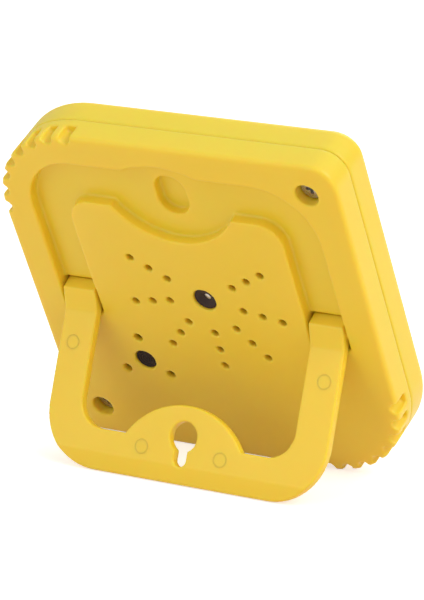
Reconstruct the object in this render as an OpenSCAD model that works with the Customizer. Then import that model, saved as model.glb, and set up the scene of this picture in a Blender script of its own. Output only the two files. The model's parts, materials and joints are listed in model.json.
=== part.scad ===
// Square desk sound level meter, leaning back on its fold-out stand.
// Drawn in the case's own axes, X to the right as seen from the front, Y to the rear, Z up the case,
// with the flat rear face at Y = 0, then tilted so that the rear bottom edge and the stand's tip
// touch the table at Z = 0.

/* [Case] */
// Width of the case
case_w = 92.6; // [90:0.2:98]
// Height of the case along its own upright
case_h = 92.6; // [90:0.2:98]
// Depth of the case from the rear face to the front face
case_d = 14.2; // [14:0.1:17]
// Depth of the rear half, from the rear face to the seam
rear_d = 6.8; // [6.4:0.1:7.4]
// Thickness of the side walls
wall = 2; // [1.6:0.1:2.4]
// Thickness of the rear wall
rear_wall = 2; // [1.6:0.1:2.2]
// Thickness of the front wall
front_wall = 1.9; // [1.6:0.1:2.2]
// Radius of the two fluted corners
grip_r = 24; // [22:0.5:26]
// Radius of the two plain corners
plain_r = 6; // [4:0.5:8]
// Rounding of the rear edge
rear_round = 0.9; // [0.6:0.1:1.4]
// Rounding of the front edge
front_round = 1.6; // [1:0.1:2]
// Bevel on each half at the seam
seam = 0.25; // [0.1:0.05:0.4]
// Height of the locating lips on the front half
lip_h = 1.3; // [0.8:0.1:1.6]
// Length of the locating lips
lip_l = 26; // [16:1:34]

/* [Grip flutes] */
// Number of flutes at each fluted corner
flute_n = 8; // [4:1:8]
// Angle from one flute to the next
flute_step = 12.4; // [11:0.2:12.6]
// Radius of a flute
flute_r = 1.5; // [1:0.1:1.8]
// Depth of a flute below the corner's face
flute_depth = 2; // [1.2:0.1:2.2]
// Length of a flute from the rear face
flute_len = 4.5; // [3:0.1:5]

/* [Sound openings] */
// Centre of the speaker openings, to the right as seen from the front
vent_x = -2.1; // [-3:0.1:3]
// Diameter of the middle opening
vent_mid_d = 6; // [4:0.2:8]
// Diameter of each small opening
vent_d = 2; // [1.4:0.1:2.4]
// Distance of the outermost small openings from the speaker's edge
vent_edge = 1.5; // [1.3:0.1:3]
// Spacing of the small openings along an arm
vent_step = 5; // [4:0.25:5]
// Small openings along each arm
vent_rows = 3; // [2:1:3]
// Angle from one arm to the next
vent_angle = 40; // [36:1:40]
// Number of arms
vent_arms = 7; // [5:1:7]
// Distance of the microphone openings from the right end of the cells
mic_in = 3.5; // [2:0.1:5]
// Distance of the microphone openings above the board's lower edge
mic_up = 1.5; // [1.2:0.1:2.5]
// Diameter of the microphone opening
mic_d = 5.6; // [4:0.1:5.8]
// Diameter of the three small openings around it
mic_vent_d = 2.3; // [1.5:0.1:2.6]
// Radius of the ring of three small openings
mic_ring = 7; // [6.5:0.1:8]

/* [Stand] */
// Distance from the case's sides to the stand
stand_side = 8.7; // [8.4:0.1:10]
// Length of the stand from its hinge axis to its tip
stand_len = 40.6; // [39:0.1:41]
// Thickness of the stand
stand_t = 2.4; // [2:0.1:2.6]
// Angle that the stand swings from folded to open
stand_open = 133.8; // [125:0.2:138]
// Width of each arm
arm_w = 8.9; // [8:0.1:10]
// Height of the bar across the tip
bar_h = 9.8; // [9:0.1:11]
// Outer corner radius of the stand
stand_r = 14; // [12:0.5:15]
// Inner corner radius of the stand
stand_in_r = 6.5; // [6:0.1:8]
// Radius of the half-round finger tab
tab_r = 18.4; // [17:0.1:18.6]
// Height of the bevel along the tip
tip_bevel_h = 4.1; // [3:0.1:5]
// Depth of the bevel along the tip
tip_bevel_d = 1.2; // [0.6:0.1:1.4]
// Gap between the stand and its channel
stand_gap = 0.5; // [0.4:0.05:0.7]
// How far the folded stand lies below the rear face
stand_sink = 0.1; // [0:0.05:0.3]
// Gap behind the folded stand
stand_clear = 0.3; // [0.2:0.05:0.5]
// Hinge axis below the rear face
hinge_in = 1.9; // [1.7:0.1:2.1]
// Distance from the case's top to the folded stand's tip
stand_top = 8.4; // [8:0.1:9.4]
// Radius of the hinge pins
pin_r = 1.2; // [1:0.05:1.4]
// Length of the hinge pins beyond the arms
pin_l = 2; // [1.4:0.1:2.4]
// Running clearance around the hinge pins
pin_clear = 0.05; // [0.02:0.01:0.1]
// Radius of the hinge knuckles
knuckle_r = 3.7; // [3.4:0.1:3.9]
// Distance of the knuckle's flat from the hinge axis
knuckle_flat = 2.5; // [2.2:0.1:3]
// Tilt of the knuckle's flat from the rear face when open
knuckle_tilt = 18.6; // [10:0.2:25]
// Distance of the knuckle's top from the hinge axis, along its flat
knuckle_top = 1.9; // [1.6:0.1:2.6]
// Slope of the knuckle's top, from square to its flat
knuckle_slope = 30; // [0:1:36]
// Width of the finger notch above the channel
notch_w = 19.6; // [14:0.2:22]
// Height of the finger notch above the channel
notch_h = 2.2; // [1.5:0.1:2.6]

/* [Wall hanging] */
// Diameter of the keyhole's round end
key_d = 7.2; // [6.4:0.1:7.6]
// Distance of the keyhole's round end from the tip
key_at = 11.1; // [10.6:0.1:12.4]
// Width of the keyhole's slot
key_slot = 3.3; // [3:0.1:4.2]
// Distance of the slot's end from the tip
key_slot_at = 5.8; // [4.8:0.1:6.4]
// Width of the screw-head pocket in the case
head_w = 8; // [7.6:0.1:8.6]
// Depth of the screw-head pocket below the channel
head_deep = 2.4; // [1.6:0.1:2.6]

/* [Screws] */
// Distance of the case screws from the case's sides, top and bottom
screw_in = 8.2; // [7.8:0.1:8.6]
// Diameter of the hole above each case screw
screw_well_d = 5.7; // [5.2:0.1:6]
// Depth from the rear face to the seat of the screw head
screw_seat = 4.4; // [3.2:0.1:4.8]
// Diameter of the case screw head
screw_head_d = 5; // [4.4:0.1:5]
// Height of the case screw head
screw_head_h = 1.8; // [1.4:0.1:2]
// Diameter of the case screw shank
screw_d = 2.4; // [2:0.1:2.6]
// Distance of the board screws from the case's sides
board_screw_in = 6.3; // [5.8:0.1:6.8]
// Diameter of the board screw shank
board_screw_d = 1.8; // [1.6:0.1:2]
// Diameter of the board screw head
board_screw_head_d = 3.8; // [3.4:0.1:4]

/* [Display] */
// Distance from the case's sides to the display opening
view_side = 18.3; // [17.5:0.1:21]
// Distance from the case's top to the display opening
view_top = 14.3; // [14:0.1:18]
// Distance from the middle of the keys to the display opening
view_low = 15; // [14.8:0.1:18]
// Rim of the window beyond the display opening
window_rim = 3; // [2:0.1:3.2]
// Thickness of the window
window_t = 1.2; // [1:0.1:1.3]
// Rim of the glass beyond the display opening
glass_rim = 4; // [3:0.1:4.2]
// Thickness of the display glass
glass_t = 2.4; // [2:0.1:2.6]
// Width of the frame around the glass
frame_w = 1.6; // [1.2:0.1:1.8]
// Pins along each long edge of the glass
lcd_pin_n = 12; // [8:1:14]

/* [Board and keys] */
// Thickness of the circuit board
board_t = 1; // [0.8:0.1:1.2]
// Distance from the cells to the board
board_gap = 1.4; // [1.2:0.1:1.8]
// Gap between neighbouring keys
key_between = 5; // [4:0.1:6]
// Height of a key
key_h = 8; // [6:0.5:8]
// Room between the end keys and the board's posts
key_side = 3; // [2:0.1:5]
// Distance of the middle of the keys above the board's lower edge
key_up = 7.5; // [7:0.1:8]
// How far the keys stand out of the front face
key_proud = 1; // [0.9:0.1:1.6]
// Travel of the keys
key_travel = 0.8; // [0.4:0.1:0.8]
// Gap around each key
key_gap = 0.3; // [0.25:0.05:0.5]
// Flange around each key behind the front wall
key_flange = 1; // [0.8:0.1:1.4]
// Thickness of the keypad mat
mat_t = 0.8; // [0.6:0.1:1]
// Margin of the keypad mat around the keys
mat_rim = 2; // [1.5:0.1:2.4]
// Width of the controller chip
chip_w = 10; // [7:0.5:12]
// Thickness of the controller chip
chip_t = 1.2; // [1:0.1:1.6]
// Radius of a capacitor
can_r = 2; // [1.5:0.1:2.5]
// Height of a capacitor
can_h = 3; // [2:0.1:4]

/* [Speaker and microphone] */
// Height left free below and above the speaker
speaker_room = 4.2; // [3.5:0.1:5.5]
// Depth of the speaker's seat below the rear face
speaker_seat = 4.4; // [4.2:0.1:4.6]
// Depth of the speaker's basket
basket_d = 2.2; // [2:0.1:2.4]
// Diameter of the magnet
magnet_d = 18; // [14:0.5:20]
// Diameter of the microphone capsule
capsule_d = 6; // [5.8:0.1:6.2]
// Thickness of the microphone capsule
capsule_t = 2; // [1.6:0.1:2.2]
// Thickness of the microphone boot's wall
boot_t = 0.55; // [0.4:0.05:0.6]

/* [Batteries] */
// Diameter of a cell
cell_d = 10.5; // [10.1:0.1:10.5]
// Length of a cell
cell_l = 44.5; // [43.5:0.1:44.5]
// Left end of the cells, to the right as seen from the front
cell_x = -20.5; // [-20.6:0.1:-20]
// Room for the contacts at each end of the cells
contact_room = 1.8; // [1.4:0.1:2.2]

/* [Hidden] */
$fn = 48;
beyond = 1;
fit = 0.15;
slack = 0.1;
sunk = 0.01;
yellow = [0.93, 0.78, 0.25];
steel = [0.72, 0.73, 0.75];

// Case corners as seen from the front: X side, Z side, radius
corners = [[1, 1, grip_r], [-1, 1, plain_r], [-1, -1, grip_r], [1, -1, plain_r]];
screw_sides = [[-1, 1], [1, -1]];
round_steps = [0:22.5:90];
rear_inner = -rear_wall;
front_inner = -case_d + front_wall;

// Cells from the bottom wall up, then the board, the keys and the microphone above them
cell_gap = 0.2;
cell_pitch = cell_d + slack;
cell_y = rear_inner - cell_gap - cell_d / 2;
cell_low_z = -case_h / 2 + wall + cell_gap + slack + cell_d / 2;
cell_right = cell_x + cell_l;
cells_top = cell_low_z + cell_pitch + cell_d / 2;
board_bottom = cells_top + board_gap;
key_z = board_bottom + key_up;
mic_x = cell_right - mic_in;
mic_z = board_bottom + mic_up;
screw_x = case_w / 2 - screw_in;
screw_z = case_h / 2 - screw_in;
view_w = case_w - 2 * view_side;
view_h = case_h / 2 - view_top - key_z - view_low;
view_z = key_z + view_low + view_h / 2;

// Stand, its channel, and the pockets around its knuckles
stand_w = case_w - 2 * stand_side;
hinge_z = case_h / 2 - stand_top - stand_len;
stand_out = hinge_in - stand_sink;
stand_in = stand_out - stand_t;
channel_d = stand_sink + stand_t + stand_clear;
floor_wall = 1.2;
pocket_r = knuckle_r + stand_clear;
crease_turn = 180 - stand_open - knuckle_tilt;
crease_at = (knuckle_flat + stand_in * cos(crease_turn)) / sin(crease_turn);
pocket_wall = 1.2;
head_wall = 1;
pocket_x0 = stand_w / 2 - arm_w - stand_gap - slack;
pocket_x1 = stand_w / 2 + stand_gap + slack;
pin_boss_x = pocket_x1 + pin_l + floor_wall;
stop_len = 12;
stand_tip_z = hinge_z + stand_len;
notch_r = (pow(notch_w / 2, 2) + notch_h * notch_h) / (2 * notch_h);
head_up = 2.5;
head_lo = stand_tip_z - key_at + head_up;
head_hi = stand_tip_z - key_slot_at;
head_floor = channel_d + head_deep;
head_low = head_lo - head_w / 2 - head_wall;

// Tilt at which the rear bottom edge and the stand's tip both touch the table
foot_y = -hinge_in + stand_len * sin(stand_open) + stand_out * cos(stand_open);
foot_z = hinge_z + stand_len * cos(stand_open) - stand_out * sin(stand_open);
rise = foot_z + case_h / 2 - rear_round;
run = foot_y + rear_round;
lean = atan2(rise, run) + asin(rear_round / norm([rise, run]));
lift = foot_y * sin(lean) - foot_z * cos(lean);
reach_rear = (case_h / 2 - rear_round) * sin(lean) - rear_round * cos(lean) + rear_round;
reach_front = (case_h / 2 - front_round) * sin(lean) + (case_d - front_round) * cos(lean) + front_round;

// Display and board, counted from the front wall back
glass_gap = 0.2;
glass_front = front_inner + glass_gap;
glass_back = glass_front + glass_t;
board_front = glass_back + glass_gap;
board_back = board_front + board_t;
glass_w = view_w + 2 * glass_rim;
glass_h = view_h + 2 * glass_rim;
pin_room = 1;
window_r = 2.5;
view_r = 1.5;
lcd_pin = 0.5;
board_screw_z = [key_z - 3, view_z - 2.5];
board_post_r = board_screw_d / 2 + 1.6;
tip_gap = 0.4;
case_post_r = screw_d / 2 + 2.4;
well_boss_r = screw_well_d / 2 + 1.35;

// Keys
key_back = board_front - mat_t - key_travel - slack;
keys_n = 4;
board_screw_x = case_w / 2 - board_screw_in;
key_room = board_screw_x - board_post_r - key_side - key_flange;
key_pitch = (2 * key_room + key_between) / keys_n;
key_w = key_pitch - key_between;

// Speaker, microphone and batteries
ring_wall = 1.25;
ledge_w = 0.6;
speaker_gap = 0.5;
speaker_side = pocket_x0 - floor_wall - ring_wall - fit - abs(vent_x);
speaker_d = min(head_low - cells_top - speaker_room, 2 * speaker_side);
vent_z = head_low - speaker_gap - speaker_d / 2;
vent_ring = speaker_d / 2 - vent_edge - (vent_rows - 1) * vent_step;
flange_t = 0.8;
cone_r = speaker_d / 2 - 4.8;
coil_r = 6.4;
cone_depth = 1.1;
magnet_gap = 0.4;
basket_back = -speaker_seat - basket_d;
screen_t = 0.3;
boot_r = capsule_d / 2 + pin_clear + boot_t;
mic_boss_r = boot_r + 0.8;
capsule_front = rear_inner - screen_t;
rib_t = 1.5;
plate_t = 0.4;

// Stands the case up on the table in its leaning pose
module placed() {
    translate([0, (reach_front - reach_rear) / 2, lift])
        rotate([-lean, 0, 0])
            children();
}

// Extrudes a plan drawn in X and Z forwards from the depth y
module plate(y, depth) {
    translate([0, y, 0]) rotate([90, 0, 0]) linear_extrude(depth) children();
}

// A cylinder along the depth, from y forwards
module drum(x, z, y, depth, r) {
    translate([x, y, z]) rotate([90, 0, 0]) cylinder(h = depth, r = r);
}

// The case's outline, moved in by an inset
module case_plan(inset) {
    function mid(c) = [c.x * (case_w / 2 - c.z), c.y * (case_h / 2 - c.z)];
    function side(c) = mid(c) + [c.x * (c.z - inset), 0];
    function end(c) = mid(c) + [0, c.y * (c.z - inset)];
    polygon([
        side(corners[0]), end(corners[0]), end(corners[1]), side(corners[1]),
        side(corners[2]), end(corners[2]), end(corners[3]), side(corners[3])
    ]);
    for (c = corners) translate(mid(c)) circle(r = c.z - inset);
}

// A solid of the case's outline through layers of [depth, inset], from the rear forwards
module case_layers(layers) {
    hull()
        for (i = [0:len(layers) - 2], c = corners)
            translate([c.x * (case_w / 2 - c.z), layers[i].x, c.y * (case_h / 2 - c.z)])
                rotate([90, 0, 0])
                    cylinder(
                        h = layers[i].x - layers[i + 1].x, r1 = c.z - layers[i].y, r2 = c.z - layers[i + 1].y,
                        $fn = c.z > 10 ? 96 : 32
                    );
}

// The stand's outline in X and Z from its hinge axis, grown by g on every side
module stand_plan(g) {
    half = stand_w / 2;
    in_half = half - arm_w - g;
    in_top = stand_len - bar_h - g;
    in_r = stand_in_r - g;
    difference() {
        union() {
            translate([-half - g, 0]) square([stand_w + 2 * g, stand_len - stand_r]);
            translate([-half + stand_r, 0]) square([stand_w - 2 * stand_r, stand_len + g]);
            for (s = [-1, 1]) translate([s * (half - stand_r), stand_len - stand_r]) circle(r = stand_r + g);
        }
        translate([-in_half, -beyond]) square([2 * in_half, in_top - in_r + beyond]);
        translate([-in_half + in_r, -beyond]) square([2 * (in_half - in_r), in_top + beyond]);
        for (s = [-1, 1]) translate([s * (in_half - in_r), in_top - in_r]) circle(r = in_r);
    }
    intersection() {
        translate([0, stand_len]) circle(r = tab_r + g, $fn = 96);
        translate([-half, 0]) square([stand_w, stand_len + g]);
    }
}

// Pocket that a knuckle turns in, grown by g, with the ramp that the open stand rests on
module knuckle_pocket(x0, x1, g) {
    translate([0, -hinge_in, hinge_z]) {
        translate([x0, 0, 0]) rotate([0, 90, 0]) rotate(45) cylinder(h = x1 - x0, r = pocket_r + g);
        rotate([-stand_open, 0, 0])
            translate([x0 + fit, -knuckle_r, 0])
                cube([x1 - x0 - 2 * fit, knuckle_r + stand_out + slack + g, stop_len]);
    }
}

// A slot with round ends in X and Z
module upright_slot(z0, z1, w) {
    translate([-w / 2, z0]) square([w, z1 - z0]);
    for (z = [z0, z1]) translate([0, z]) circle(r = w / 2);
}

// A key's outline with round ends, grown by g
module key_plan(g) {
    r = key_h / 2 + g;
    square([key_w - key_h, 2 * r], center = true);
    for (s = [-1, 1]) translate([s * (key_w - key_h) / 2, 0]) circle(r = r);
}

// The places of the four keys
function key_x(i) = (i - (keys_n - 1) / 2) * key_pitch;

// Rounded rectangle in X and Z
module panel(w, h, r) {
    square([w - 2 * r, h], center = true);
    square([w, h - 2 * r], center = true);
    for (x = [-1, 1], z = [-1, 1]) translate([x * (w / 2 - r), z * (h / 2 - r)]) circle(r = r);
}

// Small openings of the speaker and the microphone
module sound_holes() {
    drum(vent_x, vent_z, beyond, rear_wall + 2 * beyond, vent_mid_d / 2);
    for (i = [0:vent_arms - 1], row = [0:vent_rows - 1]) {
        a = -90 + (i - (vent_arms - 1) / 2) * vent_angle;
        r = vent_ring + row * vent_step;
        drum(vent_x + r * cos(a), vent_z + r * sin(a), beyond, rear_wall + 2 * beyond, vent_d / 2);
    }
    drum(mic_x, mic_z, beyond, rear_wall + 2 * beyond, mic_d / 2);
    for (a = [90:120:330])
        drum(
            mic_x + mic_ring * cos(a), mic_z + mic_ring * sin(a),
            beyond, rear_wall + 2 * beyond, mic_vent_d / 2
        );
}

// Flutes around the two grip corners
module flutes() {
    for (s = [1, -1], i = [0:flute_n - 1]) {
        a = 45 + (i - (flute_n - 1) / 2) * flute_step;
        r = grip_r + flute_r - flute_depth;
        drum(
            s * (case_w / 2 - grip_r + r * cos(a)), s * (case_h / 2 - grip_r + r * sin(a)),
            beyond, flute_len + beyond, flute_r
        );
    }
}

// The rear half's hollow in X and Z, thicker behind the flutes
module rear_hollow() {
    backing = wall + 1.2;
    margin = 2;
    difference() {
        case_plan(wall);
        for (s = [1, -1])
            difference() {
                translate([s * (case_w / 2 - grip_r / 2), s * (case_h / 2 - grip_r / 2)])
                    square([grip_r + 2 * margin, grip_r + 2 * margin], center = true);
                translate([s * (case_w / 2 - grip_r), s * (case_h / 2 - grip_r)]) {
                    circle(r = grip_r - backing);
                    square([2 * margin, 2 * (grip_r - backing)], center = true);
                    square([2 * (grip_r - backing), 2 * margin], center = true);
                }
            }
    }
}

// Walls inside the rear half behind the channel, the pockets and the screw wells
module rear_backing() {
    translate([0, 0, hinge_z])
        plate(-beyond, channel_d + floor_wall - beyond) stand_plan(stand_gap + floor_wall);
    plate(-beyond, channel_d + floor_wall - beyond)
        translate([0, stand_tip_z + stand_gap + notch_h - notch_r])
            intersection() {
                circle(r = notch_r + floor_wall, $fn = 96);
                translate([-notch_w, notch_r - notch_h - stand_gap]) square([2 * notch_w, notch_r]);
            }
    plate(-beyond, head_floor + head_wall - beyond) upright_slot(head_lo, head_hi, head_w + 2 * head_wall);
    for (s = [0, 1]) mirror([s, 0, 0])
        intersection() {
            knuckle_pocket(pocket_x0 - floor_wall, pin_boss_x, pocket_wall);
            translate([0, -rear_d - beyond, -case_h / 2]) cube([case_w / 2, rear_d, case_h]);
        }
    for (s = screw_sides) drum(s.x * screw_x, s.y * screw_z, -beyond, rear_d - beyond, well_boss_r);
}

// Seats of the speaker and the microphone on the inside of the rear wall
module sound_seats() {
    difference() {
        drum(vent_x, vent_z, -beyond, speaker_seat + flange_t, speaker_d / 2 + fit + ring_wall);
        drum(vent_x, vent_z, rear_inner, rear_d, speaker_d / 2 + fit - ledge_w);
        drum(vent_x, vent_z, -speaker_seat, rear_d, speaker_d / 2 + fit);
    }
    difference() {
        drum(mic_x, mic_z, -beyond, rear_wall + capsule_t - beyond - screen_t, mic_boss_r);
        drum(mic_x, mic_z, rear_inner, rear_d, boot_r + pin_clear);
    }
}

module rear_case() {
    color(yellow) placed()
    difference() {
        union() {
            difference() {
                case_layers(concat(
                    [for (a = round_steps) [-rear_round * (1 - cos(a)), rear_round * (1 - sin(a))]],
                    [[-rear_d + seam, 0], [-rear_d, seam]]
                ));
                plate(rear_inner, rear_d) rear_hollow();
            }
            rear_backing();
            sound_seats();
        }
        flutes();
        sound_holes();
        translate([0, 0, hinge_z]) plate(beyond, channel_d + beyond) stand_plan(stand_gap);
        plate(beyond, channel_d + beyond)
            translate([0, stand_tip_z + stand_gap + notch_h - notch_r])
                intersection() {
                    circle(r = notch_r, $fn = 96);
                    translate([-notch_w, notch_r - notch_h - beyond]) square([2 * notch_w, notch_r]);
                }
        plate(beyond, head_floor + beyond) upright_slot(head_lo, head_hi, head_w);
        for (s = [0, 1]) mirror([s, 0, 0]) {
            knuckle_pocket(pocket_x0, pocket_x1, 0);
            translate([pocket_x1 - beyond, -hinge_in, hinge_z])
                rotate([0, 90, 0])
                    cylinder(h = pin_l + beyond + fit, r = pin_r + pin_clear);
        }
        for (s = screw_sides) {
            drum(s.x * screw_x, s.y * screw_z, beyond, screw_seat + beyond, screw_well_d / 2);
            drum(s.x * screw_x, s.y * screw_z, 0, rear_d + beyond, screw_d / 2 + fit);
        }
    }
}

module front_case() {
    color(yellow) placed()
    difference() {
        union() {
            difference() {
                case_layers(concat(
                    [[-rear_d, seam], [-rear_d - seam, 0]],
                    [for (a = round_steps) [-case_d + front_round * (1 - sin(a)), front_round * (1 - cos(a))]]
                ));
                plate(-rear_d + beyond, case_d - front_wall - rear_d + beyond) case_plan(wall);
            }
            for (s = screw_sides)
                drum(s.x * screw_x, s.y * screw_z, -rear_d, case_d - front_wall / 2 - rear_d, case_post_r);
            for (x = [-1, 1], z = board_screw_z)
                drum(
                    x * board_screw_x, z, board_front,
                    board_front - front_inner + front_wall / 2, board_post_r
                );
            battery_ribs();
            lips();
        }
        translate([0, 0, view_z]) {
            plate(-case_d + window_t + slack, window_t + beyond)
                panel(view_w + 2 * window_rim, view_h + 2 * window_rim, window_r);
            plate(front_inner + beyond, front_wall + 2 * beyond) panel(view_w, view_h, view_r);
        }
        for (i = [0:keys_n - 1])
            translate([key_x(i), 0, key_z])
                plate(front_inner + beyond, front_wall + 2 * beyond) key_plan(key_gap);
        for (s = screw_sides)
            drum(
                s.x * screw_x, s.y * screw_z, -rear_d + beyond,
                case_d - front_wall - rear_d + beyond, screw_d / 2 + pin_clear
            );
        for (x = [-1, 1], z = board_screw_z)
            drum(
                x * board_screw_x, z, board_front + beyond,
                board_front - front_inner + beyond, board_screw_d / 2 + pin_clear
            );
        for (i = [0, 1])
            translate([cell_x - fit, cell_y, cell_low_z + i * cell_pitch])
                rotate([0, 90, 0])
                    cylinder(h = cell_l + 2 * fit, r = cell_d / 2 + cell_gap);
    }
}

// End walls that hold the battery contacts
module battery_ribs() {
    rib_low = cell_low_z - 3;
    rib_high = board_bottom - 0.5;
    for (x = [cell_x - contact_room - rib_t, cell_right + contact_room])
        translate([x, front_inner - beyond / 2, rib_low])
            cube([rib_t, rear_inner - cell_gap - front_inner + beyond / 2, rib_high - rib_low]);
}

// Locating lips inside the seam, in the middle of the top and of both sides
module lips() {
    lip_t = 0.9;
    inner = wall + fit;
    for (a = [0, 90, 270]) {
        half = (a == 0 ? case_h : case_w) / 2;
        rotate([0, a, 0])
            translate([-lip_l / 2, -rear_d - beyond, half - inner - lip_t])
                cube([lip_l, lip_h + beyond, lip_t]);
        rotate([0, a, 0])
            translate([-lip_l / 2, -rear_d - beyond, half - inner - lip_t])
                cube([lip_l, beyond, lip_t + fit + wall / 2]);
    }
}

// Section of a hinge knuckle across its axis, with the flat that runs out into the arm's inner face
module knuckle_profile() {
    wide = 4 * knuckle_r;
    difference() {
        union() {
            circle(r = knuckle_r);
            polygon([[0, 0], [-knuckle_r, 0], [stand_in, crease_at], [0, crease_at]]);
        }
        rotate(stand_open + knuckle_tilt) {
            translate([knuckle_flat, -wide / 2]) square([knuckle_r, wide]);
            translate([knuckle_flat, knuckle_top])
                rotate(-knuckle_slope) translate([-wide, 0]) square([2 * wide, knuckle_r]);
        }
        translate([stand_out, -wide / 2]) square([knuckle_r, wide]);
    }
}

module stand() {
    color(yellow) placed()
    translate([0, -hinge_in, hinge_z])
        rotate([-stand_open, 0, 0])
            difference() {
                union() {
                    plate(stand_out, stand_t) stand_plan(0);
                    for (s = [0, 1]) mirror([s, 0, 0]) {
                        translate([stand_w / 2 - arm_w, 0, 0])
                            rotate([90, 0, 90])
                                linear_extrude(arm_w) knuckle_profile();
                        translate([stand_w / 2 - beyond, 0, 0])
                            rotate([0, 90, 0])
                                cylinder(h = pin_l + beyond, r = pin_r);
                    }
                }
                tip_bevel();
                plate(stand_out + beyond, stand_t + 2 * beyond) {
                    translate([0, stand_len - key_at]) circle(r = key_d / 2);
                    upright_slot(stand_len - key_at, stand_len - key_slot_at, key_slot);
                }
            }
}

// Planar bevel along the stand's tip, on the face that lies inwards when folded
module tip_bevel() {
    slope = atan2(tip_bevel_d, tip_bevel_h);
    translate([-stand_w / 2 - beyond, stand_in, stand_len - tip_bevel_h])
        rotate([-slope, 0, 0])
            translate([0, -stand_t, 0])
                cube([stand_w + 2 * beyond, stand_t, 2 * tip_bevel_h]);
}

module case_screws() {
    color(steel) placed()
    for (s = screw_sides)
        difference() {
            union() {
                drum(
                    s.x * screw_x, s.y * screw_z, screw_head_h - screw_seat,
                    screw_head_h, screw_head_d / 2
                );
                drum(
                    s.x * screw_x, s.y * screw_z, -screw_seat,
                    -front_inner - screw_seat - tip_gap, screw_d / 2
                );
            }
            for (a = [0, 90])
                translate([s.x * screw_x, -screw_seat + screw_head_h, s.y * screw_z])
                    rotate([0, a, 0])
                        cube([0.55 * screw_head_d, screw_head_h, 0.16 * screw_head_d], center = true);
        }
}

module display_window() {
    color([0.75, 0.82, 0.85, 0.5]) placed()
    translate([0, 0, view_z])
        plate(-case_d + window_t + slack, window_t)
            panel(view_w + 2 * (window_rim - fit), view_h + 2 * (window_rim - fit), window_r - fit);
}

module lcd_glass() {
    color([0.62, 0.68, 0.6]) placed()
    translate([0, 0, view_z]) plate(glass_back, glass_t) square([glass_w, glass_h], center = true);
}

module lcd_frame() {
    color([0.9, 0.9, 0.88]) placed()
    translate([0, 0, view_z])
        plate(board_front, board_front - glass_front)
            difference() {
                square([glass_w + 2 * (fit + frame_w), glass_h + 2 * (pin_room + frame_w)], center = true);
                square([glass_w + 2 * fit, glass_h + 2 * pin_room], center = true);
            }
}

module lcd_pins() {
    pin_h = 1.4;
    pitch = (glass_w - 2 * glass_rim) / (lcd_pin_n - 1);
    color(steel) placed()
    for (s = [-1, 1], i = [0:lcd_pin_n - 1])
        translate([
            (i - (lcd_pin_n - 1) / 2) * pitch - lcd_pin / 2,
            board_front - pin_h,
            view_z + s * (glass_h + lcd_pin) / 2 - lcd_pin / 2
        ])
            cube([lcd_pin, pin_h, lcd_pin]);
}

module main_board() {
    edge = wall + 0.5;
    color([0.1, 0.4, 0.25]) placed()
    plate(board_back, board_t)
        difference() {
            intersection() {
                case_plan(edge);
                translate([-case_w / 2, board_bottom]) square([case_w, case_h]);
            }
            for (s = screw_sides)
                translate([s.x * screw_x, s.y * screw_z]) circle(r = case_post_r + 2 * glass_gap);
            translate([-case_w / 2, case_h / 2]) square(2 * screw_in, center = true);
            for (x = [-1, 1], z = board_screw_z)
                translate([x * board_screw_x, z]) circle(r = board_screw_d / 2 + fit);
        }
}

module board_screws() {
    head_h = 1.2;
    color(steel) placed()
    for (x = [-1, 1], z = board_screw_z)
        difference() {
            union() {
                drum(x * board_screw_x, z, board_back + head_h, head_h, board_screw_head_d / 2);
                drum(x * board_screw_x, z, board_back, board_back - front_inner - tip_gap, board_screw_d / 2);
            }
            translate([x * board_screw_x, board_back + head_h, z])
                cube([0.6 * board_screw_head_d, head_h, 0.18 * board_screw_head_d], center = true);
        }
}

module controller_chip() {
    color([0.08, 0.08, 0.09]) placed()
    translate([mic_x - chip_w, board_back, mic_z + chip_w / 2]) cube([chip_w, chip_t, chip_w]);
}

module board_capacitors() {
    color([0.15, 0.16, 0.22]) placed()
    for (i = [2, 5]) drum(board_screw_x - 4 * can_r, view_z + i * can_r, board_back + can_h, can_h, can_r);
}

module keypad_mat() {
    mat_w = (keys_n - 1) * key_pitch + key_w + 2 * mat_rim;
    color([0.35, 0.36, 0.38]) placed()
    translate([0, 0, key_z]) plate(board_front, mat_t) panel(mat_w, key_h + 2 * mat_rim, mat_rim);
}

// One key: its cap through the front wall and its flange behind it
module key(i, tint) {
    color(tint) placed()
    translate([key_x(i), 0, key_z]) {
        plate(key_back, key_back + case_d + key_proud) key_plan(0);
        plate(key_back, key_back - front_inner - slack) key_plan(key_flange);
    }
}

module button_power() { key(0, [0.8, 0.25, 0.2]); }
module button_mode() { key(1, [0.25, 0.26, 0.28]); }
module button_up() { key(2, [0.25, 0.26, 0.28]); }
module button_down() { key(3, [0.25, 0.26, 0.28]); }

// A ring or disc of the speaker, from y forwards
module speaker_ring(y, depth, r_out, r_in) {
    difference() {
        drum(vent_x, vent_z, y, depth, r_out);
        drum(vent_x, vent_z, y + beyond, depth + 2 * beyond, r_in);
    }
}

module speaker_frame() {
    cup_r = cone_r + 1;
    cup_t = 0.6;
    color(steel) placed() {
        speaker_ring(-speaker_seat, flange_t, speaker_d / 2, cup_r);
        speaker_ring(-speaker_seat, basket_d, cup_r, cup_r - cup_t);
        speaker_ring(basket_back + cup_t, cup_t, cup_r, coil_r + 0.6);
    }
}

module speaker_cone() {
    sheet = 0.3;
    rim = cone_r + 2.2;
    depth = cone_depth;
    color([0.12, 0.12, 0.13]) placed()
    translate([vent_x, -speaker_seat, vent_z])
        rotate([-90, 0, 0])
            rotate_extrude()
                polygon([
                    [0, 0], [coil_r, -depth], [cone_r, 0], [rim, 0],
                    [rim, sheet], [cone_r, sheet], [coil_r, sheet - depth], [0, sheet]
                ]);
}

module voice_coil() {
    color([0.72, 0.42, 0.2]) placed()
    speaker_ring(-speaker_seat - cone_depth, basket_d - cone_depth - magnet_gap, coil_r + 0.2, coil_r - 0.3);
}

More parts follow.
